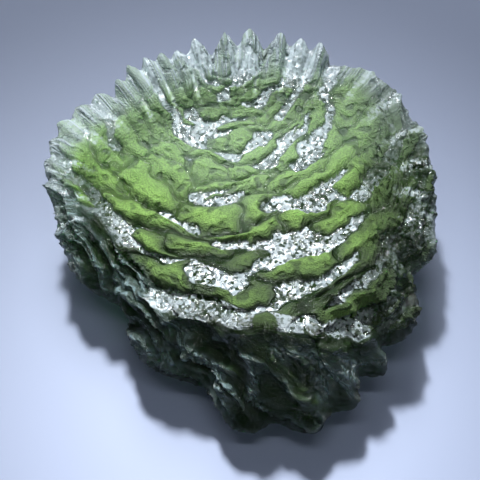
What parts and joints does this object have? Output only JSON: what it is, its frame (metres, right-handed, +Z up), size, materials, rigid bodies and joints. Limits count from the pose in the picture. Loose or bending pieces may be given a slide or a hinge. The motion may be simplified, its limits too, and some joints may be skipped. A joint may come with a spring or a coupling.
{
  "type": "moldavite",
  "caption": "Natural green glass stone: a shallow sculpted bowl with a comb of teeth at its back rim and a small flat spot below.",
  "frame": {"origin": "centre of the bounding box's base, on the plane that the stone rests on", "axes": "+Z up from the resting plane, +Y towards the toothed back rim, +X to the right seen from the front"},
  "size_m": [0.0379, 0.0382, 0.0168],
  "materials": {
    "green_glass": "etched natural glass, see-through green, darker where it is thick"
  },
  "bodies": {
    "root": {"stone": "green_glass"}
  },
  "joints": []
}
